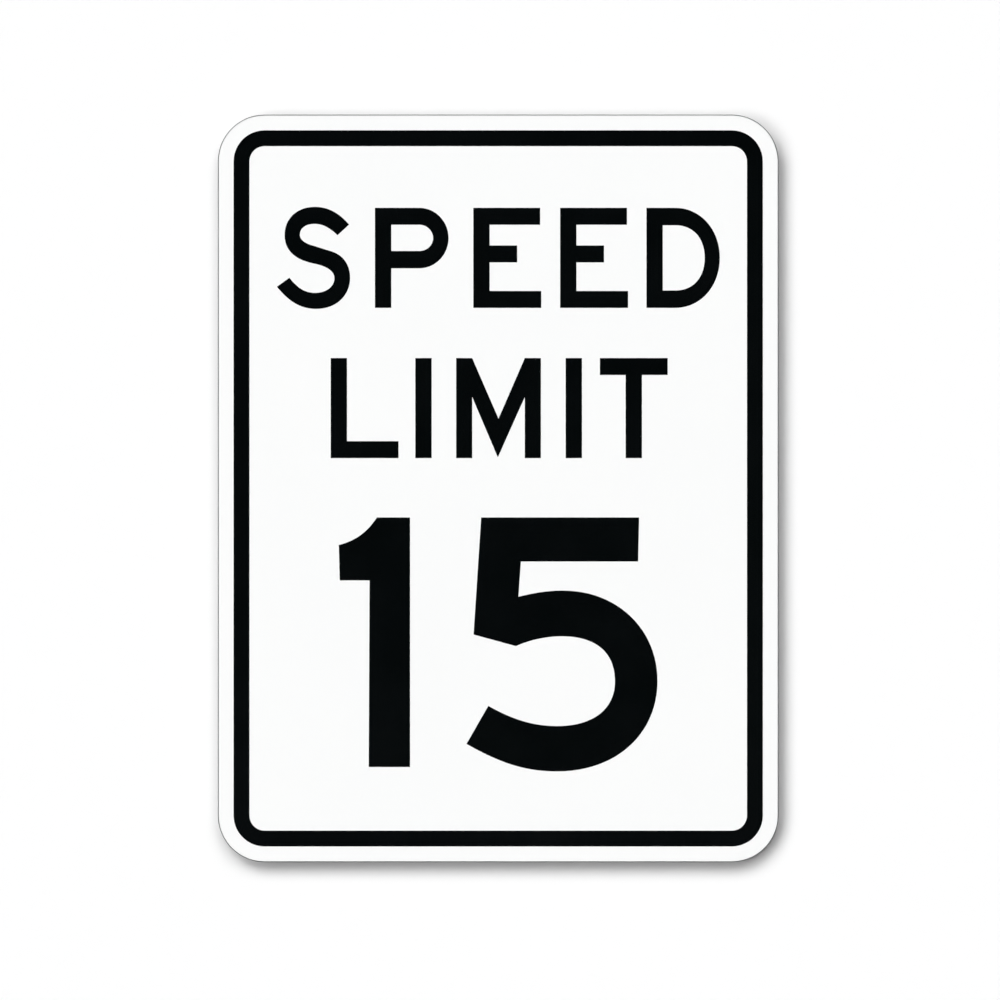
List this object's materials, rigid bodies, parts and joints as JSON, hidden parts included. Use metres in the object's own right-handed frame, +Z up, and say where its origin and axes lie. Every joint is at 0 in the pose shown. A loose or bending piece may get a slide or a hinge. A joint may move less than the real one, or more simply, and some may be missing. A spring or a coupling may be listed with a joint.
{
  "type": "speed limit sign",
  "caption": "Flat rectangular road sign with rounded corners: an aluminium blank faced with white reflective sheeting and a black border, held by its back face.",
  "frame": {"origin": "centre of the flat back face of the aluminium blank", "axes": "+Z up the sign, +Y out of the back face, +X to a reader's right as they face the sign; the legend looks along -Y"},
  "size_m": [0.4572, 0.0025, 0.6096],
  "materials": {
    "bare_aluminium": "mill finish with a fine rolling grain, edges deburred",
    "white_reflective_film": "smooth satin film over fine glass beads",
    "black_overlay_film": "opaque, low sheen, knife-cut edges"
  },
  "bodies": {
    "root": {"aluminium_blank": "bare_aluminium", "white_sheeting": "white_reflective_film", "black_border": "black_overlay_film"}
  },
  "joints": []
}
